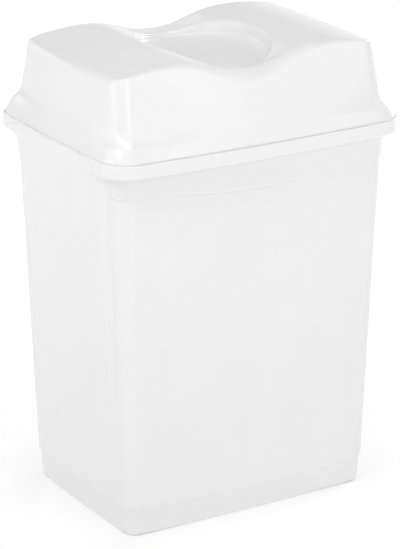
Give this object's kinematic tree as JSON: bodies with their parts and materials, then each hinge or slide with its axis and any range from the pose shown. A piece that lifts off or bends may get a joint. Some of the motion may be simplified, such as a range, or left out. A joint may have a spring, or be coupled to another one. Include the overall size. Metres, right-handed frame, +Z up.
{
  "type": "flip-lid trash can",
  "caption": "White plastic kitchen bin with a tapered tub, a wide rim band and a domed lid that flips up on a rear hinge; a round dish is let into the wave-shaped lid top.",
  "frame": {"origin": "centre of the flat face the bin rests on, on the floor", "axes": "+Z up; +X along the long side; +Y towards the back, where the lid is hinged; the front faces -Y"},
  "size_m": [0.361, 0.2708, 0.5018],
  "materials": {
    "bin_plastic": "white moulded plastic, semi-gloss",
    "lid_plastic": "white moulded plastic, semi-gloss",
    "pin_plastic": "white plastic rod, satin"
  },
  "bodies": {
    "bin": {"bin_body": "bin_plastic", "hinge_pin_left": "pin_plastic", "hinge_pin_right": "pin_plastic"},
    "lid": {"lid": "lid_plastic"}
  },
  "joints": [
    {"name": "lid_hinge", "type": "hinge", "parent": "bin", "child": "lid", "pos_m": [0, 0.1323, 0.4192], "axis": [-1, 0, 0], "range_deg": [0, 100]}
  ]
}
